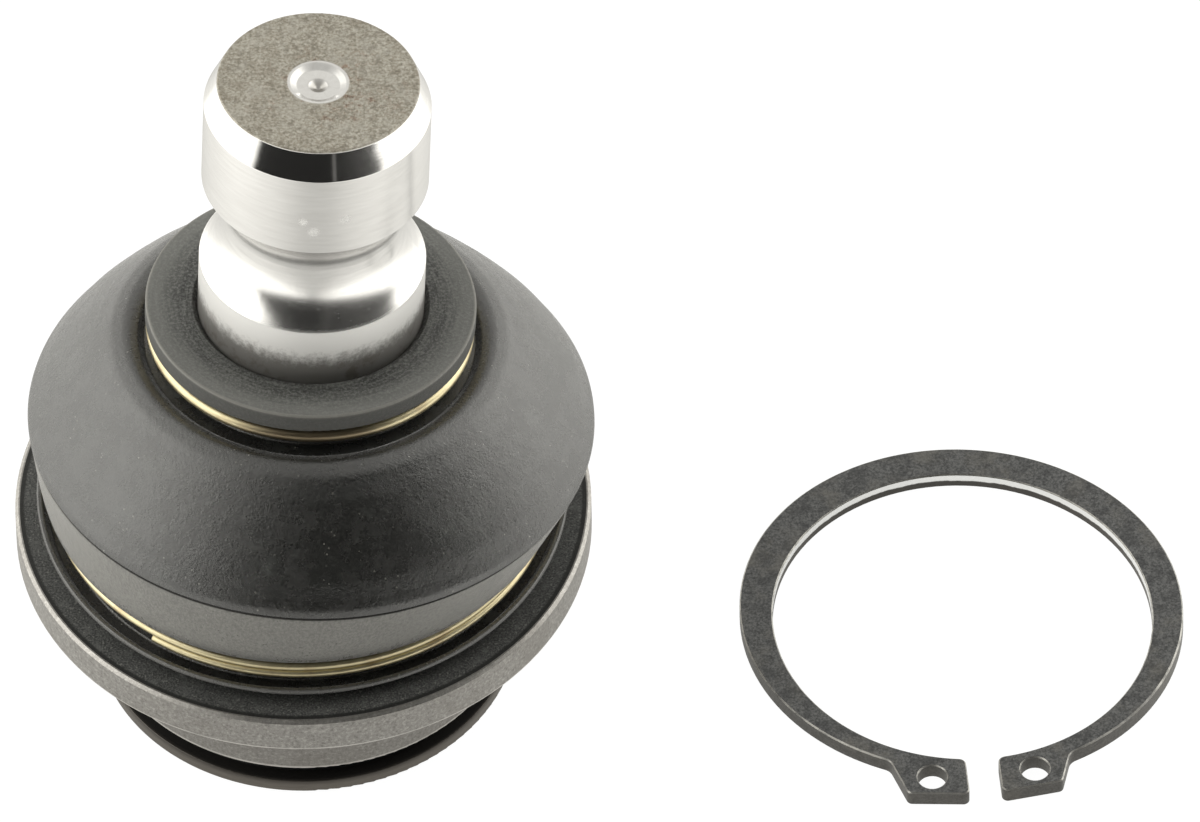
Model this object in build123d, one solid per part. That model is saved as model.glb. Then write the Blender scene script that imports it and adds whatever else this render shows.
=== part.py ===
from build123d import *
import math
import os

# Clamp-stud suspension ball joint with a pressed, circlip-retained housing.
# Millimetres. +Z is the housing axis and points out of the housing mouth.
# The origin is on that axis, in the plane of the housing's bottom ring.
# The stud, the collar and the collar's wire ring are drawn upright and then
# leaned together about the ball centre, which is how the joint rests.

# ------------------------------------------------------------ driving sizes
# housing
BODY_R = 20.2            # press diameter 40.4
GROOVE_R = 18.75         # circlip groove, diameter 37.5
GROOVE_Z0, GROOVE_Z1 = 1.60, 3.48
FLANGE_R = 27.50
FLANGE_Z0, FLANGE_Z1 = 15.15, 19.25
NECK_R = 20.60           # seat of the boot's lower bead
NECK_LIP_R = 21.00
NECK_TOP = 25.00
MOUTH_R = 12.45          # narrowest part of the mouth
MOUTH_FLARE_R = 14.00
MOUTH_Z = 22.95
BORE_R = 16.10
CAP_BORE_R = 17.00
CAP_SEAT_Z = 2.75        # shoulder the cap rests on
CRIMP_R = 16.00          # edge of the rolled-in lip

# ball stud, before it leans
BALL_R = 12.50
BALL_Z = 17.00
BALL_FLAT = 11.20        # flat on the underside, measured from the ball centre
STUD_NECK_R = 7.00
SHANK_R = 10.75          # clamp diameter 21.5
SHOULDER_R = 11.35
SHOULDER_Z0, SHOULDER_Z = 37.25, 38.50
GROOVE_WAIST_R = 8.60    # pinch-bolt groove
GROOVE_TOP_Z = 62.10
GROOVE_BOT_Z = 51.60
GROOVE_TOP_ARC = 5.5
GROOVE_BOT_ARC = 7.3
TIP_CHAMFER_Z = 71.20
TIP_R = 9.50
TIP_Z = 74.05

# the lean of the stud at rest
LEAN = 6.2               # degrees from the housing axis
LEAN_AZ = 64.8           # degrees from +X towards +Y

# bearing
SEAT_GAP = 0.04          # running clearance, ball in its seats
SEAT_SPLIT_Z = 17.00
SEAT_LOW_Z = 4.90
SEAT_TOP_Z = 22.90

# boot, collar and rings
COLLAR_R = 15.70
COLLAR_Z0, COLLAR_Z1 = 43.45, 45.42
COLLAR_SLEEVE_R = 11.75
COLLAR_SLEEVE_Z = 38.75
COLLAR_BORE_R = 10.80
UPPER_WIRE = 1.30
UPPER_RING_R = 14.95     # to the wire's centre line
UPPER_RING_Z = 42.30
LOWER_WIRE = 0.88
LOWER_RING_R = 23.60
LOWER_RING_Z = 21.96     # centre line of the first turn
LOWER_PITCH = 1.03       # rise where the second turn climbs onto the first
LOWER_CLIMB = (305, 368) # degrees from the start where it climbs
LOWER_START = -127       # degrees round from +X
LOWER_SWEEP = 585        # degrees of wire
BEND_Z0, BEND_Z1 = 24.2, 31.6    # the boot bends between these heights
BOOT_SET = 0.47          # the dome sits this far to +X at mid height
BOOT_TOP_Z = 40.0        # above this the boot follows the stud

# circlip, lying beside the joint
CLIP_T = 1.75
CLIP_IN = (62.86, -1.37, 18.31, 17.57, 157.5)    # centre x, y, half axes, angle
CLIP_OUT = (62.78, -0.48, 21.37, 20.00, 164.8)
CLIP_TURN = 4.6          # degrees the gap is turned from -Y towards +X
CLIP_GAP = 3.10
LUG_HOLE_R = 1.40
LUG_HOLE_T, LUG_HOLE_RAD = 4.93, 19.53

os.makedirs("parts", exist_ok=True)


# ------------------------------------------------------------ helpers
def profile(items):
    """Closed face in the XZ plane from (r, z[, corner radius]) points and
    ("arc", (r, z) on the arc, (r, z) at its end) entries."""
    pts = []
    for it in items:
        if it[0] == "arc":
            pts.append({"p": it[2], "f": 0.0, "via": it[1]})
        else:
            pts.append({"p": (it[0], it[1]), "f": it[2] if len(it) > 2 else 0.0, "via": None})
    n = len(pts)
    start, end = [None] * n, [None] * n       # corner arc: where it begins and stops
    mids = [None] * n
    for i in range(n):
        p = pts[i]["p"]
        f = pts[i]["f"]
        if f <= 0:
            start[i] = end[i] = p
            continue
        a = pts[i - 1]["p"]
        b = pts[(i + 1) % n]["p"]
        ua = (a[0] - p[0], a[1] - p[1])
        ub = (b[0] - p[0], b[1] - p[1])
        la, lb = math.hypot(*ua), math.hypot(*ub)
        ua = (ua[0] / la, ua[1] / la)
        ub = (ub[0] / lb, ub[1] / lb)
        half = 0.5 * math.acos(max(-1.0, min(1.0, ua[0] * ub[0] + ua[1] * ub[1])))
        if half > 1.5706:                     # straight through: nothing to round
            start[i] = end[i] = p
            continue
        d = f / math.tan(half)
        assert d < la and d < lb, f"corner radius {f} at {p} is too large"
        start[i] = (p[0] + ua[0] * d, p[1] + ua[1] * d)
        end[i] = (p[0] + ub[0] * d, p[1] + ub[1] * d)
        bis = (ua[0] + ub[0], ua[1] + ub[1])
        lbis = math.hypot(*bis)
        k = f / math.sin(half) - f
        mids[i] = (p[0] + bis[0] / lbis * k, p[1] + bis[1] / lbis * k)

    def v(q):
        return Vector(q[0], 0, q[1])

    edges = []
    for i in range(n):
        j = (i + 1) % n
        if pts[j]["via"] is not None:
            edges.append(Edge.make_three_point_arc(v(end[i]), v(pts[j]["via"]), v(start[j])))
        elif math.dist(end[i], start[j]) > 1e-6:
            edges.append(Edge.make_line(v(end[i]), v(start[j])))
        if mids[j] is not None:
            edges.append(Edge.make_three_point_arc(v(start[j]), v(mids[j]), v(end[j])))
    return Face(Wire(edges))


def turned(items):
    """Solid of revolution about the joint axis."""
    return Solid.revolve(profile(items), 360, Axis.Z)


def save(shape, name):
    shape.label = name
    export_step(shape, f"parts/{name}.step")


LEAN_AXIS = Axis((0, 0, BALL_Z), (-math.sin(math.radians(LEAN_AZ)), math.cos(math.radians(LEAN_AZ)), 0))


def lean(shape, part_of=1.0):
    """The shape turned about the ball centre by the rest lean, or part of it."""
    return shape.rotate(LEAN_AXIS, LEAN * part_of)


def boot_circle(r, z):
    """Ring of the bent boot that stood at height z before it was bent."""
    t = min(1.0, max(0.0, (z - BEND_Z0) / (BEND_Z1 - BEND_Z0)))
    ring = lean(Wire.make_circle(r, Plane(origin=(0, 0, z))), t * t * (3 - 2 * t))
    u = min(1.0, max(0.0, (z - BEND_Z0) / (BOOT_TOP_Z - BEND_Z0)))
    return ring.moved(Location((BOOT_SET * math.sin(math.pi * u), 0, 0)))


def sphere_z(r, ball_r):
    """Height above the ball centre where a sphere of ball_r has radius r."""
    return math.sqrt(ball_r ** 2 - r ** 2)


# ------------------------------------------------------------ housing
# Outside: bottom ring, circlip groove, press diameter, stop flange and the
# neck that carries the boot. Inside: mouth, bearing bore, cap bore and the
# rolled lip that holds the cap.
housing = turned([
    (CRIMP_R, 0.10, 0.08), (CRIMP_R + 0.30, 0.0),
    (BODY_R, 0.0, 0.28), (BODY_R, GROOVE_Z0, 0.10),
    (GROOVE_R, GROOVE_Z0, 0.10), (GROOVE_R, GROOVE_Z1, 0.10),
    (BODY_R, GROOVE_Z1, 0.22), (BODY_R, FLANGE_Z0, 0.55),
    (FLANGE_R, FLANGE_Z0, 0.30), (FLANGE_R, FLANGE_Z1 - 0.30),
    (FLANGE_R - 0.30, FLANGE_Z1), (NECK_R, FLANGE_Z1, 0.15),
    (NECK_R, 22.05), (NECK_LIP_R, 22.25, 0.10),
    (NECK_LIP_R, 23.20), (19.60, NECK_TOP, 0.30),
    (MOUTH_FLARE_R, NECK_TOP, 0.25), (MOUTH_R, MOUTH_Z + 0.55, 0.25),
    (MOUTH_R, MOUTH_Z), (BORE_R, MOUTH_Z, 0.30),
    (BORE_R, CAP_SEAT_Z, 0.10), (CAP_BORE_R, CAP_SEAT_Z),
    (CAP_BORE_R, 0.72, 0.10), (CRIMP_R, 0.50),
])
save(housing, "housing")

# ------------------------------------------------------------ ball stud
d = SHANK_R - GROOVE_WAIST_R


def groove_drop(arc_r):
    return math.sqrt(arc_r ** 2 - (arc_r - d) ** 2)


waist_top = GROOVE_TOP_Z - groove_drop(GROOVE_TOP_ARC)
waist_bot = GROOVE_BOT_Z + groove_drop(GROOVE_BOT_ARC)


def arc_mid(arc_r, z_waist, up):
    """Point halfway round a groove arc that is tangent to the waist."""
    whole = math.acos((arc_r - d) / arc_r)
    a = whole / 2
    return (GROOVE_WAIST_R + arc_r - arc_r * math.cos(a), z_waist + up * arc_r * math.sin(a))


flat_r = math.sqrt(BALL_R ** 2 - BALL_FLAT ** 2)
neck_h = sphere_z(STUD_NECK_R, BALL_R)
ball_stud = turned([
    (0, BALL_Z - BALL_FLAT), (flat_r, BALL_Z - BALL_FLAT),
    ("arc", (BALL_R * math.cos(0.25), BALL_Z + BALL_R * math.sin(0.25)), (STUD_NECK_R, BALL_Z + neck_h)),
    (STUD_NECK_R, 29.30, 3.0), (SHANK_R - 1.3, SHOULDER_Z0, 1.5),
    (SHOULDER_R, SHOULDER_Z0, 0.20), (SHOULDER_R, SHOULDER_Z, 0.15),
    (SHANK_R, SHOULDER_Z, 0.15), (SHANK_R, GROOVE_BOT_Z),
    ("arc", arc_mid(GROOVE_BOT_ARC, waist_bot, -1), (GROOVE_WAIST_R, waist_bot)),
    (GROOVE_WAIST_R, waist_top),
    ("arc", arc_mid(GROOVE_TOP_ARC, waist_top, 1), (SHANK_R, GROOVE_TOP_Z)),
    (SHANK_R, TIP_CHAMFER_Z, 0.12), (TIP_R, TIP_Z, 0.18),
    # centre-drill mark in the tip
    (2.75, TIP_Z, 0.5), (2.00, TIP_Z - 0.36, 0.5), (0.95, TIP_Z - 0.46, 0.3), (0.0, TIP_Z - 0.95),
])
ball_stud = lean(ball_stud)
save(ball_stud, "ball_stud")

# ------------------------------------------------------------ bearing seats
seat_r = BORE_R - 0.02
ball_in = BALL_R + SEAT_GAP
top_h = SEAT_TOP_Z - 0.02 - BALL_Z
top_r = math.sqrt(ball_in ** 2 - top_h ** 2)
upper_seat = turned([
    (ball_in, SEAT_SPLIT_Z + 0.15), (seat_r, SEAT_SPLIT_Z + 0.15),
    (seat_r, SEAT_TOP_Z - 0.60), (seat_r - 0.55, SEAT_TOP_Z - 0.02),
    (top_r, SEAT_TOP_Z - 0.02),
    ("arc", (ball_in * math.cos(0.22), BALL_Z + ball_in * math.sin(0.22)),
     (math.sqrt(ball_in ** 2 - 0.15 ** 2), SEAT_SPLIT_Z + 0.15)),
])
save(upper_seat, "upper_bearing_seat")

low_r = 6.20
low_h = sphere_z(low_r, ball_in)
lower_seat = turned([
    (low_r, SEAT_LOW_Z), (seat_r - 0.5, SEAT_LOW_Z), (seat_r, SEAT_LOW_Z + 0.5),
    (seat_r, SEAT_SPLIT_Z - 0.15), (math.sqrt(ball_in ** 2 - 0.15 ** 2), SEAT_SPLIT_Z - 0.15),
    ("arc", (ball_in * math.cos(0.55), BALL_Z - ball_in * math.sin(0.55)), (low_r, BALL_Z - low_h)),
])
# grease channels across the seating face
for i in range(3):
    cut = Plane.XY.rotated((0, 0, 60 * i)) * Location((0, 0, BALL_Z - 9.4)) * Box(22.0, 1.6, 3.0)
    lower_seat = lower_seat - cut
save(lower_seat, "lower_bearing_seat")

# ------------------------------------------------------------ preload spring
# Dished spring washer between the cap and the lower seat.
disc_spring = turned([
    (14.60, CAP_SEAT_Z + 0.01), (15.00, CAP_SEAT_Z + 0.75),
    (7.40, SEAT_LOW_Z - 0.01), (7.00, SEAT_LOW_Z - 0.78),
])
save(disc_spring, "preload_disc_spring")

# ------------------------------------------------------------ end cap
# Pressed steel cap, dished in the middle, held by the housing's rolled lip.
end_cap = turned([
    (0, 1.35), (8.5, 1.35, 2.0), (10.5, 0.76, 1.0), (CAP_BORE_R - 0.05, 0.76, 0.15),
    (CAP_BORE_R - 0.05, CAP_SEAT_Z - 0.02), (11.0, CAP_SEAT_Z - 0.02, 1.5),
    (9.0, 3.30, 1.5), (0, 3.30),
])
save(end_cap, "end_cap")

# ------------------------------------------------------------ boot collar
# Stiff sealing collar round the shank: a flat disc that the knuckle presses
# on, with a sleeve that carries the boot's upper bead.
collar = turned([
    (COLLAR_BORE_R, COLLAR_SLEEVE_Z, 0.10), (COLLAR_SLEEVE_R, COLLAR_SLEEVE_Z, 0.15),
    (COLLAR_SLEEVE_R, COLLAR_Z0, 0.15), (COLLAR_R, COLLAR_Z0, 0.18),
    (COLLAR_R, COLLAR_Z1, 0.22), (11.25, COLLAR_Z1, 0.15), (COLLAR_BORE_R, COLLAR_Z1 - 0.45),
])
collar = lean(collar)
save(collar, "boot_collar")

# ------------------------------------------------------------ dust boot
# Foot: bead round the housing's neck, a lip that stands on the flange and the
# groove for the lower ring. It stays upright.
foot = turned([
    (NECK_R + 0.10, 19.55, 0.10), (24.25, 19.55, 0.12), (25.42, 21.02, 0.15),
    (25.30, 21.38, 0.12), (24.92, 21.38, 0.12), (24.35, 20.45, 0.30), (23.04, 20.35, 0.30),
    (23.04, 24.20), (22.30, 24.20), (21.10, 23.35), (21.10, 22.10),
    (NECK_R + 0.10, 21.95),
])
# Cuff and dome: lofted through rings that lean more and more.
skin = Solid.make_loft([boot_circle(r, z) for z, r in (
    (24.20, 23.90), (24.80, 24.62), (26.20, 25.32), (28.10, 26.25), (30.10, 27.05), (31.60, 26.35),
    (33.00, 25.56), (35.00, 24.04), (37.00, 22.44), (39.00, 20.45), (BOOT_TOP_Z, 19.35))])
inside = Solid.make_loft([boot_circle(r, z) for z, r in (
    (24.20, 22.30), (26.20, 23.30), (28.00, 24.20), (29.90, 24.95), (31.50, 24.60),
    (33.00, 23.85), (35.00, 22.25), (37.00, 20.40), (38.60, 18.20), (39.40, 16.80))])
# Crown and upper bead: gripped on the collar's sleeve, so they follow it.
crown = lean(turned([
    (COLLAR_SLEEVE_R + 0.10, BOOT_TOP_Z), (19.35, BOOT_TOP_Z), (18.60, 40.78, 0.6),
    (17.45, 41.32, 0.7), (16.35, 40.92, 0.6), (15.75, 40.30, 0.15), (14.15, 40.40, 0.3),
    (14.15, COLLAR_Z0 - 0.10, 0.12),
    (COLLAR_SLEEVE_R + 0.10, COLLAR_Z0 - 0.10, 0.12),
]))
bore = lean(Solid.make_cylinder(COLLAR_SLEEVE_R + 0.10, 6.0, Plane(origin=(0, 0, 38.5))))
boot = (skin - inside - bore) + crown + foot
save(boot, "dust_boot")

# ------------------------------------------------------------ boot rings
# Upper: one turn of spring wire, open at the back.
upper_ring = Solid.revolve(
    Face(Wire.make_circle(UPPER_WIRE / 2, Plane(origin=(UPPER_RING_R, 0, UPPER_RING_Z), z_dir=(0, 1, 0)))),
    354, Axis.Z)
upper_ring = lean(upper_ring.rotate(Axis.Z, 93))
save(upper_ring, "boot_upper_ring")

# Lower: one and a half turns of thinner wire. The first turn lies flat, then
# the wire climbs over its own start and lies on it.
def wire_point(deg):
    t = min(1.0, max(0.0, (deg - LOWER_CLIMB[0]) / (LOWER_CLIMB[1] - LOWER_CLIMB[0])))
    a = math.radians(LOWER_START + deg)
    return Vector(LOWER_RING_R * math.cos(a), LOWER_RING_R * math.sin(a),
                  LOWER_RING_Z + LOWER_PITCH * t * t * (3 - 2 * t))


steps = LOWER_SWEEP // 9
route = Edge.make_spline([wire_point(9.0 * i) for i in range(steps + 1)])
section = Face(Wire.make_circle(LOWER_WIRE / 2, Plane(origin=route @ 0, z_dir=route % 0)))
lower_ring = Solid.sweep(section, path=Wire([route]))
print("lower ring: volume", round(lower_ring.volume, 2), "section times length",
      round(math.pi * LOWER_WIRE ** 2 / 4 * route.length, 2))
save(lower_ring, "boot_lower_ring")

# ------------------------------------------------------------ circlip
# Flat spring ring with two eyed lugs, a little oval while it is loose and
# widest opposite the gap. Drawn where it lies, with the gap's middle on a
# line turned by CLIP_TURN.
def oval(cx, cy, a, b, angle):
    return Ellipse(a, b).moved(Location((cx, cy, 0), (0, 0, angle)))


at_gap = Location((CLIP_IN[0], CLIP_IN[1], 0), (0, 0, CLIP_TURN))
lugs = []
for s in (-1, 1):
    outline = [(s * 0.2, -16.8), (s * 0.2, -22.15), (s * 7.40, -21.30),
               (s * 9.10, -15.95), (s * 8.00, -15.30)]
    lugs.append(Polygon(*outline[::s], align=None).moved(at_gap))
plate = oval(*CLIP_OUT) + lugs[0] + lugs[1] - oval(*CLIP_IN)
plate = plate - Rectangle(CLIP_GAP, 12).moved(at_gap * Location((0, -20.5, 0)))
for s in (-1, 1):
    plate = plate - Circle(LUG_HOLE_R).moved(at_gap * Location((s * LUG_HOLE_T, -LUG_HOLE_RAD, 0)))


def round_at(solid, spots):
    """Round the upright edges of the solid nearest to the given spots."""
    for (x, y), rad in spots:
        p = (at_gap * Location((x, y, 0))).position
        upright = [e for e in solid.edges() if e.bounding_box().size.Z > CLIP_T - 0.01
                   and math.hypot(e.bounding_box().size.X, e.bounding_box().size.Y) < 0.01]
        edge = min(upright, key=lambda q: math.hypot(q.center().X - p.X, q.center().Y - p.Y))
        solid = solid.fillet(rad, [edge])
    return solid


spots = []
for s in (-1, 1):
    spots += [((s * 1.55, -17.4), 0.70), ((s * 1.55, -22.0), 0.60), ((s * 7.40, -21.30), 0.60),
              ((s * 8.60, -17.45), 1.20)]
circlip = round_at(extrude(plate, CLIP_T).solid(), spots)
rim = [e for e in circlip.edges() if abs(e.center().Z - CLIP_T) < 1e-3 or abs(e.center().Z) < 1e-3]
circlip = chamfer(rim, 0.12)
save(circlip, "circlip")
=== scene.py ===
import math

import bmesh
import bpy
from mathutils import Matrix, Vector


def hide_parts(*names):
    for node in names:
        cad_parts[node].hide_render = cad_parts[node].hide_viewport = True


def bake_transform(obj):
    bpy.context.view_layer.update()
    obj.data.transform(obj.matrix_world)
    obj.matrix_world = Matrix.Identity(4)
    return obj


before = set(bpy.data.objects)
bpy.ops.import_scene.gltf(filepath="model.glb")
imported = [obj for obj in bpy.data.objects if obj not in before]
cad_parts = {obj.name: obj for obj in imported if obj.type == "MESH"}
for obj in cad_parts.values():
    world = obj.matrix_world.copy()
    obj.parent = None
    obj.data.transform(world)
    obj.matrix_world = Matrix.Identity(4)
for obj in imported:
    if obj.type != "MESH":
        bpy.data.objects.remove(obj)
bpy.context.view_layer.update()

MM = 0.001

# ------------------------------------------------------------------ camera
# A long lens, high in front of the joint, with a small roll.
pitch, roll = math.radians(49.856), math.radians(-1.097)
fwd = Vector((0, math.cos(pitch), -math.sin(pitch)))
right = Vector((1, 0, 0))
up = right.cross(fwd)
cam_x = right * math.cos(roll) + up * math.sin(roll)
cam_y = -right * math.sin(roll) + up * math.cos(roll)
cam_data = bpy.data.cameras.new("camera")
cam = bpy.data.objects.new("camera", cam_data)
bpy.context.scene.collection.objects.link(cam)
cam_data.sensor_width = 36.0
cam_data.lens = 750.0
cam_data.clip_start, cam_data.clip_end = 0.1, 20.0
m = Matrix((
    (cam_x.x, cam_y.x, -fwd.x, 0.02848),
    (cam_x.y, cam_y.y, -fwd.y, -1.53205),
    (cam_x.z, cam_y.z, -fwd.z, 1.84817),
    (0, 0, 0, 1)))
cam.matrix_world = m
bpy.context.scene.camera = cam

view = bpy.context.scene.view_settings
view.view_transform = "Standard"
view.look = "None"
view.exposure = 0.0
view.gamma = 1.0

# The stud, its collar and the upper wire ring lean about the ball centre.
LEAN, LEAN_AZ, BALL_Z = math.radians(6.2), math.radians(64.8), 0.017
LEAN_AXIS = Vector((-math.sin(LEAN_AZ), math.cos(LEAN_AZ), 0))


def leaned(part_of=1.0):
    """The turn about the ball centre, or part of it, as a matrix in metres."""
    c = Vector((0, 0, BALL_Z))
    return Matrix.Translation(c) @ Matrix.Rotation(LEAN * part_of, 4, LEAN_AXIS) @ Matrix.Translation(-c)


# ------------------------------------------------------------------ node tools
class Tree:
    """A small wrapper that adds nodes to a material and joins them."""

    def __init__(self, name, lean=False, rest=None):
        self.mat = bpy.data.materials.new(name)
        self.mat.use_nodes = True
        self.nt = self.mat.node_tree
        self.nt.nodes.clear()
        self.out = self.nt.nodes.new("ShaderNodeOutputMaterial")
        self.bsdf = self.nt.nodes.new("ShaderNodeBsdfPrincipled")
        self.nt.links.new(self.bsdf.outputs[0], self.out.inputs[0])
        self.tc = self.nt.nodes.new("ShaderNodeTexCoord")
        self.co = self.tc.outputs["Object"]
        if lean:
            # coordinates along the leaning axis
            back = leaned().inverted()
            n = self.new("ShaderNodeMapping", vector_type="POINT")
            n.inputs["Location"].default_value = back.to_translation()
            n.inputs["Rotation"].default_value = back.to_euler("XYZ")
            self.nt.links.new(self.co, n.inputs["Vector"])
            self.co = n.outputs[0]
        if rest:
            # coordinates of the piece as moulded, kept on its mesh
            n = self.new("ShaderNodeAttribute", attribute_name=rest)
            self.co = n.outputs["Vector"]
        self._xyz = None

    def new(self, kind, **kw):
        n = self.nt.nodes.new(kind)
        for k, v in kw.items():
            setattr(n, k, v)
        return n

    def put(self, socket, value):
        if isinstance(value, bpy.types.NodeSocket):
            self.nt.links.new(value, socket)
        else:
            socket.default_value = value

    def set(self, name, value):
        self.put(self.bsdf.inputs[name], value)

    def math(self, op, a, b=0.0, c=0.0, clamp=False):
        n = self.new("ShaderNodeMath", operation=op, use_clamp=clamp)
        self.put(n.inputs[0], a)
        if len(n.inputs) > 1:
            self.put(n.inputs[1], b)
        if len(n.inputs) > 2:
            self.put(n.inputs[2], c)
        return n.outputs[0]

    def xyz(self):
        if self._xyz is None:
            n = self.new("ShaderNodeSeparateXYZ")
            self.put(n.inputs[0], self.co)
            self._xyz = n.outputs
        return self._xyz

    def radius(self, cx=0.0, cy=0.0):
        x, y, _ = self.xyz()
        dx = self.math("SUBTRACT", x, cx)
        dy = self.math("SUBTRACT", y, cy)
        return self.math("SQRT", self.math("ADD", self.math("MULTIPLY", dx, dx), self.math("MULTIPLY", dy, dy)))

    def angle(self, cx=0.0, cy=0.0):
        x, y, _ = self.xyz()
        return self.math("ARCTAN2", self.math("SUBTRACT", y, cy), self.math("SUBTRACT", x, cx))

    def combine(self, x, y, z):
        n = self.new("ShaderNodeCombineXYZ")
        for s, v in zip(n.inputs, (x, y, z)):
            self.put(s, v)
        return n.outputs[0]

    def noise(self, scale, detail=3.0, rough=0.55, co=None, distort=0.0):
        n = self.new("ShaderNodeTexNoise")
        self.put(n.inputs["Vector"], self.co if co is None else co)
        n.inputs["Scale"].default_value = scale
        n.inputs["Detail"].default_value = detail
        n.inputs["Roughness"].default_value = rough
        n.inputs["Distortion"].default_value = distort
        return n.outputs[0]

    def voronoi(self, scale, co=None, feature="F1", rnd=1.0):
        n = self.new("ShaderNodeTexVoronoi", feature=feature)
        self.put(n.inputs["Vector"], self.co if co is None else co)
        n.inputs["Scale"].default_value = scale
        n.inputs["Randomness"].default_value = rnd
        return n.outputs

    def stretch(self, sx, sy, sz, co=None):
        n = self.new("ShaderNodeVectorMath", operation="MULTIPLY")
        self.put(n.inputs[0], self.co if co is None else co)
        n.inputs[1].default_value = (sx, sy, sz)
        return n.outputs[0]

    def step(self, value, lo, hi, to_lo=0.0, to_hi=1.0, smooth=True):
        n = self.new("ShaderNodeMapRange", clamp=True)
        if smooth:
            n.interpolation_type = "SMOOTHSTEP"
        self.put(n.inputs["Value"], value)
        for k, v in (("From Min", lo), ("From Max", hi), ("To Min", to_lo), ("To Max", to_hi)):
            n.inputs[k].default_value = v
        return n.outputs[0]

    def ramp(self, fac, stops, interp="LINEAR"):
        n = self.new("ShaderNodeValToRGB")
        self.put(n.inputs[0], fac)
        cr = n.color_ramp
        cr.interpolation = interp
        while len(cr.elements) < len(stops):
            cr.elements.new(0.5)
        for e, (p, c) in zip(cr.elements, stops):
            e.position = p
            e.color = (*c, 1.0) if len(c) == 3 else c
        return n.outputs[0]

    def mix(self, fac, a, b, mode="MIX"):
        n = self.new("ShaderNodeMix", data_type="RGBA", blend_type=mode)
        self.put(n.inputs["Factor"], fac)
        for s, v in ((n.inputs[6], a), (n.inputs[7], b)):
            self.put(s, (*v, 1.0) if isinstance(v, tuple) and len(v) == 3 else v)
        return n.outputs[2]

    def fmix(self, fac, a, b):
        n = self.new("ShaderNodeMix", data_type="FLOAT")
        self.put(n.inputs["Factor"], fac)
        self.put(n.inputs[2], a)
        self.put(n.inputs[3], b)
        return n.outputs[0]

    def bump(self, height, distance, strength=1.0, normal=None):
        n = self.new("ShaderNodeBump")
        n.inputs["Strength"].default_value = strength
        n.inputs["Distance"].default_value = distance
        self.put(n.inputs["Height"], height)
        if normal is not None:
            self.put(n.inputs["Normal"], normal)
        return n.outputs[0]


def g(v):
    """Grey."""
    return (v, v, v)


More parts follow.
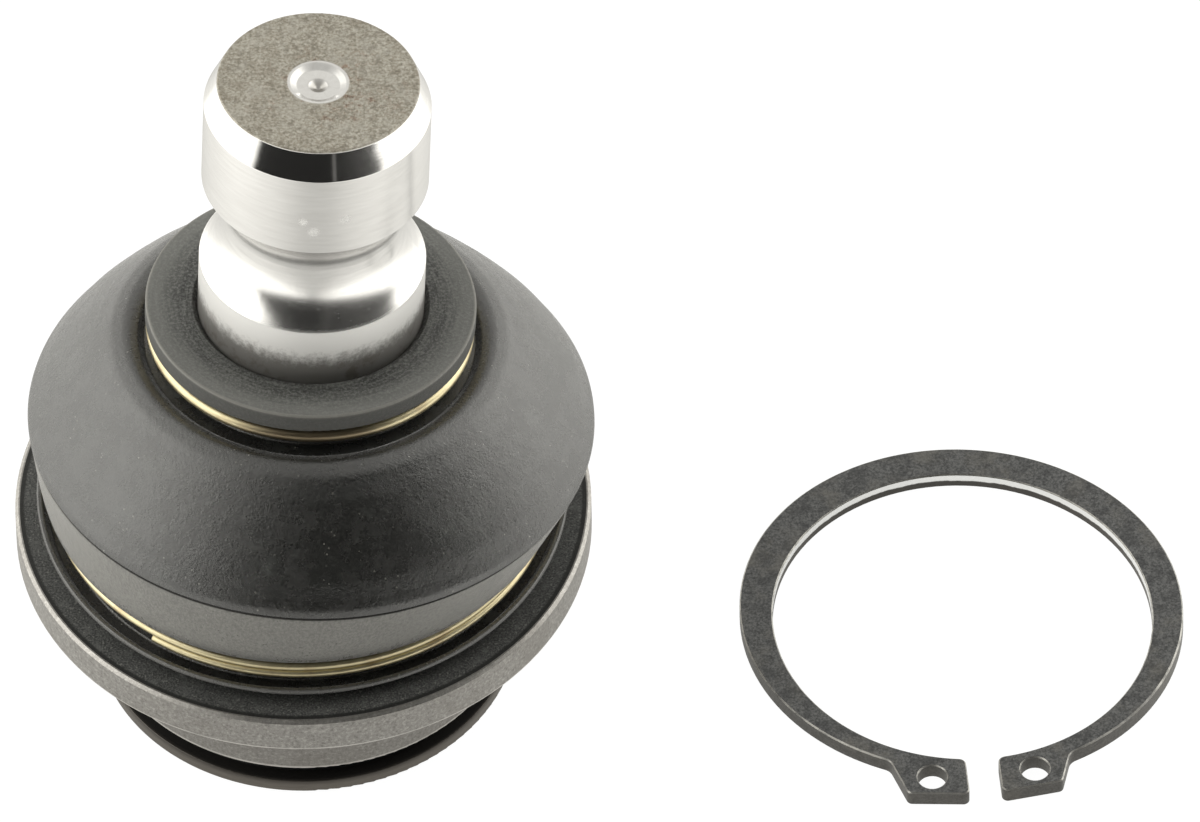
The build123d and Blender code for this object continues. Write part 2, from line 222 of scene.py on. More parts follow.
# ------------------------------------------------------------------ studio
def studio():
    """White sweep, a bright soft light each side, a darker room behind the camera."""
    world = bpy.data.worlds.new("studio")
    bpy.context.scene.world = world
    world.use_nodes = True
    nt = world.node_tree
    nt.nodes.clear()
    out = nt.nodes.new("ShaderNodeOutputWorld")
    tc = nt.nodes.new("ShaderNodeTexCoord")
    sep = nt.nodes.new("ShaderNodeSeparateXYZ")
    nt.links.new(tc.outputs["Generated"], sep.inputs[0])

    def m(op, a, b=0.0, clamp=False):
        n = nt.nodes.new("ShaderNodeMath")
        n.operation = op
        n.use_clamp = clamp
        for s, v in zip(n.inputs, (a, b)):
            if isinstance(v, bpy.types.NodeSocket):
                nt.links.new(v, s)
            else:
                s.default_value = v
        return n.outputs[0]

    def sstep(v, lo, hi):
        n = nt.nodes.new("ShaderNodeMapRange")
        n.interpolation_type = "SMOOTHSTEP"
        nt.links.new(v, n.inputs["Value"])
        n.inputs["From Min"].default_value = lo
        n.inputs["From Max"].default_value = hi
        return n.outputs[0]

    x, y, z = sep.outputs
    az = m("MULTIPLY", m("ARCTAN2", x, m("MULTIPLY", y, -1.0)), 180 / math.pi)   # 0 in front, + to the right
    el = m("MULTIPLY", m("ARCSINE", z), 180 / math.pi)
    # dark room behind the camera
    left_edge = m("ADD", -61.0, m("MULTIPLY", m("MAXIMUM", el, 0.0), 0.45))
    inside_l = sstep(m("SUBTRACT", az, left_edge), -3.0, 4.0)
    inside_r = sstep(m("SUBTRACT", 87.0, az), -3.0, 5.0)
    below = sstep(m("SUBTRACT", 68.0, el), -6.0, 6.0)
    dark = m("MULTIPLY", m("MULTIPLY", inside_l, inside_r), below)
    # lights at the sides, weaker straight behind and overhead
    side = m("ABSOLUTE", x)
    side = sstep(side, 0.35, 0.85)
    low = m("MULTIPLY", m("SUBTRACT", 1.0, sstep(el, 45.0, 75.0)), sstep(el, -8.0, 12.0))
    top = m("SUBTRACT", 1.0, m("MULTIPLY", sstep(el, 50.0, 80.0), 0.30))
    lit = m("ADD", m("MULTIPLY", top, SKY_BASE), m("MULTIPLY", m("MULTIPLY", side, low), SKY_SIDE))
    # the room is a little lighter to the right, with a thin light stand in it
    room = m("ADD", SKY_DARK, m("MULTIPLY", sstep(az, 8.0, 50.0), 0.045))
    stand = m("SUBTRACT", 1.0, sstep(m("ABSOLUTE", m("SUBTRACT", az, 16.0)), 0.6, 2.2))
    room = m("ADD", room, m("MULTIPLY", stand, 0.16))
    level = m("ADD", m("MULTIPLY", lit, m("SUBTRACT", 1.0, dark)), m("MULTIPLY", dark, room))
    lights = nt.nodes.new("ShaderNodeBackground")
    lights.inputs[0].default_value = WARM + (1,)
    nt.links.new(level, lights.inputs[1])
    plain = nt.nodes.new("ShaderNodeBackground")
    plain.inputs[0].default_value = (1.0, 1.0, 1.0, 1)
    plain.inputs[1].default_value = 1.0
    path = nt.nodes.new("ShaderNodeLightPath")
    mix = nt.nodes.new("ShaderNodeMixShader")
    nt.links.new(path.outputs["Is Camera Ray"], mix.inputs[0])
    nt.links.new(lights.outputs[0], mix.inputs[1])
    nt.links.new(plain.outputs[0], mix.inputs[2])
    nt.links.new(mix.outputs[0], out.inputs[0])

    me = bpy.data.meshes.new("floor")
    s = 3.0
    me.from_pydata([(-s, -s, 0), (s, -s, 0), (s, s, 0), (-s, s, 0)], [], [(0, 1, 2, 3)])
    floor = bpy.data.objects.new("floor", me)
    floor.location = (0, 0, -0.00001)
    bpy.context.scene.collection.objects.link(floor)
    fm = bpy.data.materials.new("pale_floor")
    fm.use_nodes = True
    ft = fm.node_tree
    ft.nodes.clear()
    fo = ft.nodes.new("ShaderNodeOutputMaterial")
    add = ft.nodes.new("ShaderNodeAddShader")
    em = ft.nodes.new("ShaderNodeEmission")
    path = ft.nodes.new("ShaderNodeLightPath")
    tone = ft.nodes.new("ShaderNodeMix")
    tone.data_type = "RGBA"
    ft.links.new(path.outputs["Is Camera Ray"], tone.inputs["Factor"])
    tone.inputs[6].default_value = WARM + (1,)
    tone.inputs[7].default_value = (1, 1, 1, 1)
    ft.links.new(tone.outputs[2], em.inputs[0])
    glow = ft.nodes.new("ShaderNodeMix")
    glow.data_type = "FLOAT"
    # what the object sees of the floor: brighter to its left and right
    tc = ft.nodes.new("ShaderNodeTexCoord")
    sx = ft.nodes.new("ShaderNodeSeparateXYZ")
    ft.links.new(tc.outputs["Object"], sx.inputs[0])
    ab = ft.nodes.new("ShaderNodeMath")
    ab.operation = "ABSOLUTE"
    ft.links.new(sx.outputs[0], ab.inputs[0])
    wide = ft.nodes.new("ShaderNodeMapRange")
    wide.interpolation_type = "SMOOTHSTEP"
    ft.links.new(ab.outputs[0], wide.inputs["Value"])
    for k, v in (("From Min", 0.008), ("From Max", 0.075), ("To Min", FLOOR_GLOW), ("To Max", FLOOR_GLOW_SIDE)):
        wide.inputs[k].default_value = v
    far = ft.nodes.new("ShaderNodeMapRange")
    far.interpolation_type = "SMOOTHSTEP"
    ft.links.new(ab.outputs[0], far.inputs["Value"])
    for k, v in (("From Min", 0.070), ("From Max", 0.130), ("To Min", 0.0), ("To Max", FLOOR_GLOW_FAR)):
        far.inputs[k].default_value = v
    both = ft.nodes.new("ShaderNodeMath")
    ft.links.new(wide.outputs[0], both.inputs[0])
    ft.links.new(far.outputs[0], both.inputs[1])
    ft.links.new(both.outputs[0], glow.inputs[2])
    glow.inputs[3].default_value = FLOOR_SEEN
    ft.links.new(path.outputs["Is Camera Ray"], glow.inputs["Factor"])
    ft.links.new(glow.outputs[0], em.inputs[1])
    di = ft.nodes.new("ShaderNodeBsdfDiffuse")
    di.inputs[0].default_value = (FLOOR_WHITE, FLOOR_WHITE, FLOOR_WHITE, 1)
    ft.links.new(em.outputs[0], add.inputs[0])
    ft.links.new(di.outputs[0], add.inputs[1])
    ft.links.new(add.outputs[0], fo.inputs[0])
    me.materials.append(fm)


SKY_BASE, SKY_SIDE, SKY_DARK = 0.86, 1.45, 0.020
WARM = (1.0, 0.985, 0.93)
FLOOR_GLOW, FLOOR_GLOW_SIDE, FLOOR_GLOW_FAR = 0.56, 0.90, 0.75
FLOOR_SEEN, FLOOR_WHITE = 0.97, 0.12
studio()


# ------------------------------------------------------------------ materials
def steel_stud():
    """Ground shank and groove, cut and slightly rusted tip face, smudged foot with painted shade at its base, painted
    glints on three nicks.
    """
    t = Tree("ground_steel", lean=True)
    x, y, z = t.xyz()
    r = t.radius()
    a = t.angle()
    # turning and grinding lines: noise that varies fast along z and slowly round
    ring_co = t.combine(t.math("MULTIPLY", a, 0.0012), t.math("MULTIPLY", r, 0.3), z)
    lines = t.noise(9000.0, 2.0, 0.6, ring_co)
    lines2 = t.noise(2600.0, 3.0, 0.6, ring_co)
    high = t.step(z, 0.07385, 0.07395)
    tip = t.math("MULTIPLY", high, t.step(r, 0.00285, 0.00300))
    # speckle of the tip face, rust-brown in places
    sp1 = t.noise(1300.0, 5.0, 0.75)
    sp2 = t.noise(3400.0, 3.0, 0.7)
    patch = t.noise(230.0, 4.0, 0.65)
    blotch = t.noise(520.0, 4.0, 0.7)
    base = t.ramp(sp2, [(0.30, (0.205, 0.188, 0.150)), (0.50, (0.405, 0.378, 0.318)), (0.70, (0.62, 0.60, 0.54))])
    base = t.mix(t.math("MULTIPLY", t.step(sp1, 0.50, 0.36), 0.60), base, (0.17, 0.150, 0.115))
    base = t.mix(t.math("MULTIPLY", t.step(blotch, 0.46, 0.66), 0.40), base, (0.50, 0.48, 0.43))
    base = t.mix(t.math("MULTIPLY", t.step(blotch, 0.50, 0.34), 0.35), base, (0.24, 0.205, 0.155))
    rust = t.mix(t.step(sp2, 0.35, 0.65), (0.105, 0.055, 0.032), (0.27, 0.165, 0.105))
    near = t.step(t.radius(0.0014, -0.0008), 0.0100, 0.0020, 0.10, 1.0)
    rust_fac = t.math("MULTIPLY", t.math("MULTIPLY", t.step(sp1, 0.50, 0.62), t.step(patch, 0.42, 0.62)), near)
    tip_col = t.mix(t.math("MULTIPLY", rust_fac, 0.85), base, rust)
    metal = t.mix(lines2, (0.70, 0.69, 0.675), (0.84, 0.835, 0.825))
    # painted highlight: the land below the groove is painted near-white and half metallic, for the light it catches
    metal = t.mix(t.step(z, 0.0519, 0.0513), metal, (0.93, 0.925, 0.91))
    # faint handling smudges low on the foot
    foot = t.math("MULTIPLY", t.step(z, 0.0500, 0.0455), t.step(t.noise(420.0, 4.0, 0.7), 0.50, 0.66))
    metal = t.mix(t.math("MULTIPLY", foot, 0.55), metal, (0.25, 0.16, 0.13))
    # painted shade: the stud darkens towards its foot, standing for the collar's shade and dark reflection
    foot_shade = t.math("ADD", z, t.math("MULTIPLY", t.math("SUBTRACT", t.noise(1300.0, 4.0, 0.8), 0.5), 0.0030))
    metal = t.mix(t.step(foot_shade, 0.04930, 0.04700, 0.0, 0.82), metal, (0.11, 0.103, 0.092))
    # three small nicks on the shank's front, painted as near-white spots: painted glints
    nick_glints = 0.0
    for dx, dz, dr in ((-0.0013, 0.0660, 0.00028), (-0.0003, 0.0648, 0.00036), (0.0027, 0.0662, 0.00034)):
        off = t.math("SQRT", t.math("ADD", t.math("POWER", t.math("ABSOLUTE", t.math("SUBTRACT", x, dx)), 2.0),
                                    t.math("POWER", t.math("ABSOLUTE", t.math("SUBTRACT", z, dz)), 2.0)))
        nick_glints = t.math("MAXIMUM", nick_glints, t.step(off, dr * 2.1, dr * 0.5))
    nick_glints = t.math("MULTIPLY", nick_glints, t.step(y, -0.0100, -0.0104))
    metal = t.mix(nick_glints, metal, (0.97, 0.965, 0.95))
    # the centre mark: clean metal, a little dull at the bottom
    pit = t.math("MULTIPLY", t.step(z, 0.0742, 0.0736), t.step(r, 0.0012, 0.0004))
    metal = t.mix(t.math("MULTIPLY", pit, 0.65), metal, (0.30, 0.285, 0.26))
    t.set("Base Color", t.mix(tip, metal, tip_col))
    shank = t.math("SUBTRACT", 1.0, t.math("MULTIPLY", nick_glints, 0.8))
    t.set("Metallic", t.fmix(tip, t.fmix(t.step(z, 0.0519, 0.0513), shank, 0.45), 0.50))
    rough = t.math("ADD", 0.20, t.math("MULTIPLY", lines, 0.10))
    land = t.step(z, 0.0519, 0.0513)
    rough = t.fmix(land, rough, t.math("ADD", 0.36, t.math("MULTIPLY", lines, 0.10)))
    cone = t.math("MULTIPLY", t.step(z, 0.07112, 0.07122), t.math("SUBTRACT", 1.0, tip))
    rough = t.fmix(cone, rough, t.math("ADD", 0.07, t.math("MULTIPLY", lines, 0.06)))
    t.set("Roughness", t.fmix(tip, rough, t.math("ADD", 0.46, t.math("MULTIPLY", sp2, 0.2))))
    b1 = t.bump(lines, 0.000004, 0.30)
    b2 = t.bump(t.math("MULTIPLY", t.math("ADD", sp2, sp1), tip), 0.00006, 0.5, b1)
    t.set("Normal", b2)
    return t.mat


def steel_housing():
    """Black phosphate on the flange's top and in the recesses, turned steel outside; painted shade under the flange,
    in the circlip groove and atop the bottom ring, painted highlights along edges.
    """
    t = Tree("housing_steel")
    x, y, z = t.xyz()
    r = t.radius()
    a = t.angle()
    co = t.combine(t.math("MULTIPLY", a, 0.0016), t.math("MULTIPLY", r, 1.0), z)
    lines = t.noise(5200.0, 3.0, 0.65, co)
    broad = t.noise(160.0, 4.0, 0.6)
    grain = t.noise(5200.0, 3.0, 0.7)
    # where the turned steel is bare
    side = t.step(r, 0.02702, 0.02709)
    body = t.math("MULTIPLY", t.step(r, 0.01975, 0.01990), t.step(z, 0.01700, 0.01650))
    under = t.step(z, 0.01590, 0.01575)
    bare = t.math("MAXIMUM", side, t.math("MULTIPLY", body, under))
    ring = t.step(z, 0.00175, 0.00155)
    # painted shade: the circlip groove is painted near-black and not metallic
    groove = t.math("MULTIPLY", t.step(r, 0.02008, 0.01990), t.math("MULTIPLY", t.step(z, 0.00150, 0.00164), t.step(z, 0.00360, 0.00346)))
    black = t.mix(t.step(grain, 0.35, 0.75), (0.036, 0.0368, 0.0362), (0.180, 0.184, 0.176))
    black = t.mix(t.math("MULTIPLY", t.step(t.noise(900.0, 4.0, 0.7), 0.50, 0.72), 0.60), black, (0.165, 0.170, 0.163))
    black = t.mix(t.math("MULTIPLY", t.step(t.noise(2600.0, 2.0, 0.6), 0.60, 0.68), 0.70), black, (0.24, 0.24, 0.225))
    dark_line = t.math("MULTIPLY", t.step(r, 0.02650, 0.02675), t.step(z, 0.01900, 0.01915))
    black = t.mix(t.math("MULTIPLY", dark_line, 0.85), black, (0.006, 0.006, 0.005))
    turned = t.mix(lines, (0.27, 0.26, 0.245), (0.46, 0.445, 0.425))
    coarse = t.noise(3000.0, 3.0, 0.75)
    turned = t.mix(t.math("MULTIPLY", t.step(coarse, 0.50, 0.68), 0.55), turned, (0.66, 0.65, 0.62))
    turned = t.mix(t.math("MULTIPLY", t.step(coarse, 0.47, 0.32), 0.55), turned, (0.15, 0.143, 0.133))
    turned = t.mix(t.math("MULTIPLY", t.step(broad, 0.45, 0.70), 0.35), turned, (0.24, 0.225, 0.205))
    # painted shade: the body below the flange is darkened under its overhang
    turned = t.mix(t.step(z, 0.01500, 0.01480, 0.0, 0.30), turned, (0.20, 0.190, 0.175))
    # painted highlights along edges: under the flange, at the groove and on the flange's top edge
    edge_highlight = t.math("MAXIMUM", t.math("MULTIPLY", t.step(z, 0.01552, 0.01542), t.step(z, 0.01516, 0.01526)),
                    t.math("MULTIPLY", t.step(z, 0.00395, 0.00372), t.step(z, 0.00340, 0.00352)))
    edge_highlight = t.math("MULTIPLY", edge_highlight, t.step(t.noise(500.0, 3.0, 0.6), 0.25, 0.55, 0.45, 1.0))
    edge_highlight = t.math("MAXIMUM", edge_highlight, t.math("MULTIPLY", t.step(z, 0.01885, 0.01900), 0.12))
    turned = t.mix(edge_highlight, turned, (0.72, 0.70, 0.67))
    ring_col = t.mix(lines, (0.13, 0.118, 0.104), (0.27, 0.250, 0.225))
    # painted shade: the bottom ring darkens towards its top, next to the groove
    ring_col = t.mix(t.step(z, 0.00080, 0.00165, 0.0, 0.8), ring_col, (0.060, 0.054, 0.048))
    col = t.mix(bare, black, turned)
    col = t.mix(ring, col, ring_col)
    col = t.mix(groove, col, (0.006, 0.006, 0.006))
    t.set("Base Color", col)
    metal = t.math("MAXIMUM", t.math("MULTIPLY", bare, 0.85), t.math("MULTIPLY", ring, 0.75))
    t.set("Metallic", t.math("MULTIPLY", metal, t.math("SUBTRACT", 1.0, groove)))
    shiny = t.math("ADD", 0.34, t.math("MULTIPLY", lines, 0.16))
    t.set("Roughness", t.fmix(t.math("MAXIMUM", bare, ring), t.math("ADD", 0.48, t.math("MULTIPLY", grain, 0.2)), shiny))
    b = t.bump(lines, 0.00002, 0.30)
    b = t.bump(grain, 0.00003, 0.35, b)
    b = t.bump(coarse, 0.00005, 0.40, b)
    t.set("Normal", b)
    return t.mat


def rubber_boot():
    """Moulded rubber, bloomed and a little dusty, with a fine grain; painted shade under the cuff and in the parting
    notch, a painted highlight on the lip.
    """
    t = Tree("boot_rubber", rest="moulded_at")
    x, y, z = t.xyz()
    r = t.radius()
    fine = t.noise(4000.0, 4.0, 0.75)
    mid = t.noise(1300.0, 4.0, 0.65)
    cloud = t.noise(80.0, 5.0, 0.6)
    specks = t.voronoi(1500.0)[0]
    dust = t.math("MULTIPLY", t.step(specks, 0.16, 0.07), t.step(t.noise(420.0, 2.0, 0.5), 0.52, 0.62))
    blotch = t.noise(330.0, 5.0, 0.72)
    col = t.mix(t.step(fine, 0.36, 0.64), (0.0015, 0.0014, 0.0010), (0.0150, 0.0152, 0.0132))
    col = t.mix(t.math("MULTIPLY", t.step(cloud, 0.42, 0.68), 0.40), col, (0.0160, 0.0176, 0.0170))
    col = t.mix(t.math("MULTIPLY", t.step(blotch, 0.50, 0.70), 0.50), col, (0.0260, 0.0280, 0.0260))
    col = t.mix(t.math("MULTIPLY", t.step(mid, 0.56, 0.70), 0.50), col, (0.0400, 0.0420, 0.0370))
    # the cuff is painted a light dusty grey: partly dust, partly a painted reflection of the floor
    cuff = t.math("MULTIPLY", t.step(z, 0.03015, 0.03003), t.step(z, 0.0247, 0.0262))
    col = t.mix(t.math("MULTIPLY", cuff, t.step(fine, 0.34, 0.66, 0.45, 1.0)), col, (0.205, 0.200, 0.180))
    # painted shade: the boot below the cuff's overhang is painted darker
    foot = t.step(z, 0.0250, 0.0240)
    col = t.mix(foot, col, (0.009, 0.0085, 0.0065))
    # painted highlight: the top of the lip is painted lighter
    lip_highlight = t.math("MULTIPLY", t.step(z, 0.02095, 0.02125), t.math("MULTIPLY", t.step(r, 0.02475, 0.02490), t.step(z, 0.0225, 0.0220)))
    col = t.mix(t.math("MULTIPLY", lip_highlight, 0.9), col, (0.050, 0.049, 0.045))
    haze = t.math("MULTIPLY", t.step(t.noise(140.0, 6.0, 0.75), 0.50, 0.66), t.step(mid, 0.36, 0.60, 0.25, 1.0))
    col = t.mix(t.math("MULTIPLY", haze, 0.34), col, (0.066, 0.073, 0.066))
    # painted shade: the parting-line notch is painted near-black and fully rough
    parting_shade = t.math("MULTIPLY", t.step(z, 0.02986, 0.02994), t.step(z, 0.03018, 0.03010))
    col = t.mix(t.math("MULTIPLY", dust, 0.75), col, (0.30, 0.30, 0.27))
    col = t.mix(t.math("MULTIPLY", parting_shade, 0.95), col, (0.002, 0.002, 0.0015))
    t.set("Base Color", col)
    worn = t.math("MULTIPLY", t.step(blotch, 0.60, 0.40), 0.11)
    rough = t.math("ADD", t.math("ADD", 0.160, worn), t.math("MULTIPLY", t.math("ADD", fine, cloud), 0.04))
    rough = t.math("ADD", rough, t.math("MULTIPLY", cuff, 0.08))
    rough = t.math("ADD", rough, t.math("MULTIPLY", haze, 0.06))
    t.set("Roughness", t.fmix(parting_shade, rough, 1.0))
    t.bsdf.inputs["IOR"].default_value = 2.02
    t.bsdf.inputs["Sheen Weight"].default_value = 0.55
    t.bsdf.inputs["Sheen Roughness"].default_value = 0.35
    b = t.bump(blotch, 0.00016, 0.30)
    b = t.bump(mid, 0.00009, 0.38, b)
    b = t.bump(fine, 0.00010, 0.60, b)
    t.set("Normal", b)
    return t.mat


def collar_black():
    """Turned hard black rubber with fine rings, painted shade near the shank and on the side, and a painted highlight
    on the rim.
    """
    t = Tree("collar_black", lean=True)
    x, y, z = t.xyz()
    r = t.radius()
    a = t.angle()
    co = t.combine(r, t.math("MULTIPLY", a, 0.0006), t.math("MULTIPLY", z, 0.3))
    rings = t.noise(4200.0, 3.0, 0.7, co)
    wide = t.noise(1300.0, 2.0, 0.5, co)
    fine = t.noise(3300.0, 3.0, 0.75)
    col = t.mix(t.step(rings, 0.3, 0.75), (0.030, 0.0310, 0.030), (0.125, 0.128, 0.121))
    col = t.mix(t.math("MULTIPLY", t.step(wide, 0.45, 0.7), 0.35), col, (0.018, 0.018, 0.018))
    col = t.mix(t.math("MULTIPLY", t.step(fine, 0.46, 0.66), 0.60), col, (0.220, 0.224, 0.212))
    col = t.mix(t.math("MULTIPLY", t.step(fine, 0.48, 0.34), 0.55), col, (0.016, 0.016, 0.015))
    # painted shade: the top is painted lighter away from the shank, darker near it where the stud shades it
    outer = t.step(r, 0.0122, 0.0152)
    col = t.mix(t.math("MULTIPLY", outer, 0.60), col, (0.215, 0.219, 0.207))
    # painted highlight on the rim's top edge
    rim = t.math("MULTIPLY", t.step(r, 0.01540, 0.01552), t.step(z, 0.04502, 0.04515))
    col = t.mix(t.math("MULTIPLY", rim, 0.70), col, (0.24, 0.235, 0.215))
    # painted shade: the side face is painted dark again
    side = t.math("MULTIPLY", t.step(r, 0.01560, 0.01566), t.step(z, 0.04530, 0.04518))
    col = t.mix(t.math("MULTIPLY", side, 0.6), col, (0.030, 0.029, 0.027))
    t.set("Base Color", col)
    t.set("Roughness", t.math("ADD", 0.40, t.math("MULTIPLY", rings, 0.22)))
    b = t.bump(rings, 0.00004, 0.6)
    b = t.bump(fine, 0.00009, 0.7, b)
    t.set("Normal", b)
    return t.mat


def brass_wire(name, lean=False):
    """Brassed spring wire with drawing lines and duller patches."""
    t = Tree(name, lean=lean)
    x, y, z = t.xyz()
    a = t.angle()
    co = t.combine(t.math("MULTIPLY", a, 0.002), t.radius(), z)
    lines = t.noise(6500.0, 2.0, 0.6, co)
    patch = t.noise(330.0, 3.0, 0.6)
    col = t.mix(lines, (0.58, 0.49, 0.28), (0.86, 0.79, 0.55))
    col = t.mix(t.math("MULTIPLY", t.step(patch, 0.50, 0.70), 0.5), col, (0.44, 0.32, 0.19))
    if lean:
        # painted shade: the front of the upper ring, under the collar's overhang, is painted dark
        front_shade = t.math("ADD", y, t.math("MULTIPLY", patch, 0.002))
        col = t.mix(t.step(front_shade, -0.0120, -0.0142, 0.0, 0.80), col, (0.17, 0.125, 0.085))
    t.set("Base Color", col)
    t.bsdf.inputs["Metallic"].default_value = 1.0
    t.set("Roughness", t.math("ADD", 0.30, t.math("MULTIPLY", t.math("ADD", lines, patch), 0.10)))
    t.set("Normal", t.bump(lines, 0.00001, 0.4))
    return t.mat


def circlip_steel():
    """Phosphated spring steel, blanked, with bright worn edges carrying painted highlights, and painted shade on its
    side walls.
    """
    t = Tree("circlip_steel")
    x, y, z = t.xyz()
    grain = t.noise(4200.0, 4.0, 0.7)
    cloud = t.noise(240.0, 4.0, 0.65)
    face = t.mix(t.step(grain, 0.3, 0.72), (0.050, 0.0515, 0.053), (0.185, 0.187, 0.187))
    face = t.mix(t.math("MULTIPLY", t.step(cloud, 0.46, 0.70), 0.45), face, (0.190, 0.180, 0.158))
    dull = t.noise(700.0, 4.0, 0.7)
    face = t.mix(t.math("MULTIPLY", t.step(dull, 0.52, 0.36), 0.55), face, (0.042, 0.043, 0.045))
    geo = t.new("ShaderNodeNewGeometry")
    nz = t.new("ShaderNodeSeparateXYZ")
    t.put(nz.inputs[0], geo.outputs["True Normal"])
    up = t.math("ABSOLUTE", nz.outputs[2])
    # the bevels are painted light: worn bare edges carrying a painted highlight
    bevel = t.math("MULTIPLY", t.step(up, 0.25, 0.45), t.step(up, 0.97, 0.88))
    edge_wear_highlight = t.math("MULTIPLY", bevel, t.step(t.noise(900.0, 3.0, 0.6), 0.30, 0.60, 0.45, 1.0))
    # painted shade: the side walls are painted darker
    side = t.step(up, 0.20, 0.05)
    col = t.mix(t.math("MULTIPLY", side, 0.5), face, (0.085, 0.078, 0.068))
    col = t.mix(edge_wear_highlight, col, (0.50, 0.49, 0.465))
    # the blanked inner wall on the far side: its smooth shear band above carries a painted highlight, its torn band
    # below is painted dark, partly painted shade
    hole = t.step(t.radius(0.06286, -0.00137), 0.01905, 0.01885)
    wall = t.math("MULTIPLY", t.math("MULTIPLY", side, hole), t.step(y, -0.0090, 0.0040))
    edge = t.math("ADD", z, t.math("MULTIPLY", t.math("SUBTRACT", dull, 0.5), 0.0004))
    shear_band_highlight = t.math("MULTIPLY", wall, t.step(edge, 0.00082, 0.00098))
    col = t.mix(t.math("MULTIPLY", wall, 0.75), col, (0.045, 0.040, 0.034))
    col = t.mix(shear_band_highlight, col, (0.86, 0.87, 0.88))
    t.set("Base Color", col)
    t.set("Metallic", t.math("ADD", 0.45, t.math("MULTIPLY", t.math("MAXIMUM", edge_wear_highlight, shear_band_highlight), 0.5)))
    t.set("Roughness", t.math("ADD", 0.36, t.math("MULTIPLY", grain, 0.22)))
    b = t.bump(grain, 0.00003, 0.40)
    t.set("Normal", b)
    return t.mat


def acetal():
    t = Tree("bearing_plastic")
    n = t.noise(900.0, 3.0, 0.6)
    t.set("Base Color", t.mix(n, (0.66, 0.64, 0.57), (0.78, 0.76, 0.70)))
    t.set("Roughness", t.math("ADD", 0.38, t.math("MULTIPLY", n, 0.12)))
    t.bsdf.inputs["Subsurface Weight"].default_value = 0.05
    t.set("Normal", t.bump(n, 0.00002, 0.3))
    return t.mat


def blued_spring():
    t = Tree("spring_steel")
    r = t.radius()
    co = t.combine(r, t.math("MULTIPLY", t.angle(), 0.0008), 0.0)
    n = t.noise(3500.0, 3.0, 0.6, co)
    t.set("Base Color", t.mix(n, (0.10, 0.105, 0.13), (0.22, 0.225, 0.25)))
    t.bsdf.inputs["Metallic"].default_value = 0.9
    t.set("Roughness", t.math("ADD", 0.28, t.math("MULTIPLY", n, 0.15)))
    t.set("Normal", t.bump(n, 0.00001, 0.3))
    return t.mat


def pressed_cap():
    """Zinc-flake coated pressing with faint draw rings."""
    t = Tree("cap_steel")
    r = t.radius()
    co = t.combine(r, t.math("MULTIPLY", t.angle(), 0.0012), 0.0)
    rings = t.noise(2200.0, 3.0, 0.6, co)
    flake = t.voronoi(2600.0)[0]
    col = t.mix(rings, (0.26, 0.26, 0.265), (0.42, 0.42, 0.42))
    col = t.mix(t.step(flake, 0.15, 0.5, 0.35, 0.0), col, (0.56, 0.56, 0.55))
    t.set("Base Color", col)
    t.bsdf.inputs["Metallic"].default_value = 0.85
    t.set("Roughness", t.math("ADD", 0.40, t.math("MULTIPLY", rings, 0.15)))
    t.set("Normal", t.bump(rings, 0.00002, 0.35))
    return t.mat


MATS = {
    "ball_stud": steel_stud(),
    "housing": steel_housing(),
    "boot_collar": collar_black(),
    "circlip": circlip_steel(),
    "end_cap": pressed_cap(),
    "preload_disc_spring": blued_spring(),
}
plastic = acetal()
MATS["upper_bearing_seat"] = plastic
MATS["lower_bearing_seat"] = plastic
MATS["boot_upper_ring"] = brass_wire("brass_wire_upper", lean=True)
MATS["boot_lower_ring"] = brass_wire("brass_wire_lower")
rubber = rubber_boot()
for name, mat in MATS.items():
    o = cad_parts[name]
    if not o.material_slots:
        o.data.materials.append(mat)
    for s in o.material_slots:
        s.material = mat


# ------------------------------------------------------------------ dust boot
def rounded(points, step=0.25):
    """Dense closed outline from (r, z, corner radius) points, in mm."""
    n = len(points)
    out = []
    for i in range(n):
        p = Vector(points[i][:2])
        f = points[i][2] if len(points[i]) > 2 else 0.0
        a, b = Vector(points[i - 1][:2]), Vector(points[(i + 1) % n][:2])
        ua, ub = (a - p).normalized(), (b - p).normalized()
        half = 0.5 * math.acos(max(-1, min(1, ua.dot(ub))))
        if f <= 0 or half > 1.56:
            out.append(p)
            continue
        d = f / math.tan(half)
        s, e = p + ua * d, p + ub * d
        c = p + (ua + ub).normalized() * (f / math.sin(half))
        a0 = math.atan2(s.y - c.y, s.x - c.x)
        a1 = math.atan2(e.y - c.y, e.x - c.x)
        da = (a1 - a0 + math.pi) % (2 * math.pi) - math.pi
        k = max(2, math.ceil(abs(da) * f / step), math.ceil(abs(da) / 0.30))
        for j in range(k + 1):
            q = a0 + da * j / k
            out.append(Vector((c.x + f * math.cos(q), c.y + f * math.sin(q))))
    dense = []
    for i in range(len(out)):
        a, b = out[i], out[(i + 1) % len(out)]
        if (b - a).length < 1e-5:
            continue
        k = max(1, math.ceil((b - a).length / (step * 2)))
        dense += [a.lerp(b, j / k) for j in range(k)]
    return dense


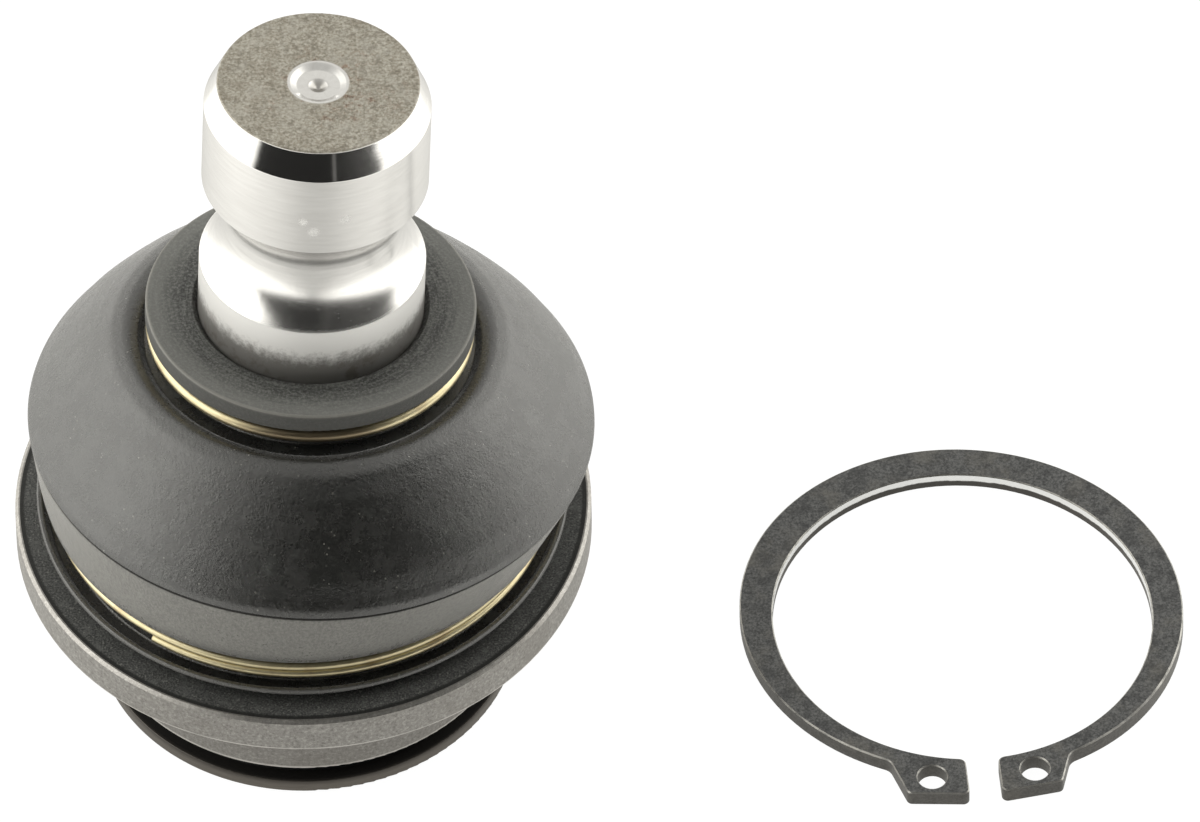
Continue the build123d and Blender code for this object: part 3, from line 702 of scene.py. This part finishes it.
BOOT = [
    (20.70, 19.55, 0.10), (24.25, 19.55, 0.12), (25.42, 21.02, 0.15),
    (25.30, 21.38, 0.12), (24.92, 21.38, 0.12), (24.35, 20.45, 0.30), (23.04, 20.35, 0.30),
    (23.04, 24.22, 0.12), (24.05, 24.26, 0.45), (24.98, 24.98, 0.90), (25.62, 26.60, 1.5),
    (26.84, 29.72, 0.20), (26.86, 29.88, 0.05), (26.72, 30.04, 0.05), (27.03, 30.20, 0.12), (26.93, 30.75, 0.8),
    (26.38, 31.60, 2.5), (25.56, 33.00, 5.0), (24.06, 35.00, 8.0), (22.44, 37.00, 8.0), (20.55, 39.05, 6.0),
    (18.90, 40.60, 2.5), (17.45, 41.32, 1.2), (16.35, 40.92, 0.6), (15.75, 40.30, 0.3), (14.15, 40.40, 0.3), (14.15, 43.35, 0.12),
    (11.85, 43.35, 0.12), (11.85, 39.40, 0.15), (16.60, 39.40, 1.2), (18.20, 38.60, 1.0), (20.40, 37.00, 4.0),
    (22.25, 35.00, 4.0), (23.85, 33.00, 4.0), (24.75, 31.20, 2.0), (24.95, 29.90, 2.0), (24.20, 28.00, 2.0),
    (23.30, 26.20, 2.0), (22.30, 24.20, 0.5), (21.10, 23.35, 0.2), (21.10, 22.10, 0.05), (20.70, 21.95, 0.05),
]
BEND_Z0, BEND_Z1, BOOT_TOP_Z, BOOT_SET = 24.2, 31.6, 40.0, 0.47


def bent(co, z):
    """Where a point of the upright boot goes when the stud leans; co in metres, z in mm."""
    t = min(1.0, max(0.0, (z - BEND_Z0) / (BEND_Z1 - BEND_Z0)))
    u = min(1.0, max(0.0, (z - BEND_Z0) / (BOOT_TOP_Z - BEND_Z0)))
    q = leaned(t * t * (3 - 2 * t)) @ co
    q.x += BOOT_SET * MM * math.sin(math.pi * u)
    return q


def make_boot(segs=320):
    line = rounded(BOOT)
    bm = bmesh.new()
    rest = bm.verts.layers.float_vector.new("moulded_at")
    rings = []
    for p in line:
        row = []
        for i in range(segs):
            a = 2 * math.pi * i / segs
            r, z = p.x, p.y
            # a moulded boot is never quite round: a few hundredths of a millimetre
            w = min(1.0, max(0.0, (z - 25.5) / 3.0)) * min(1.0, max(0.0, (39.0 - z) / 3.0))
            r -= w * 0.05 * (1 + math.sin(3 * a + 0.6 + z * 0.11)) * 0.5
            r -= w * 0.03 * (1 + math.sin(7 * a + 1.9 - z * 0.23)) * 0.5
            co = Vector((r * MM * math.cos(a), r * MM * math.sin(a), z * MM))
            v = bm.verts.new(bent(co, z))
            v[rest] = co
            row.append(v)
        rings.append(row)
    n = len(rings)
    for j in range(n):
        A, B = rings[j], rings[(j + 1) % n]
        for i in range(segs):
            k = (i + 1) % segs
            bm.faces.new((A[i], A[k], B[k], B[i]))
    bmesh.ops.recalc_face_normals(bm, faces=bm.faces)
    me = bpy.data.meshes.new("rubber_boot")
    bm.to_mesh(me)
    bm.free()
    me.polygons.foreach_set("use_smooth", [True] * len(me.polygons))
    ob = bpy.data.objects.new("rubber_boot", me)
    bpy.context.scene.collection.objects.link(ob)
    ob.data.materials.append(rubber)
    return ob


boot = make_boot()
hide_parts("dust_boot")
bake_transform(boot)
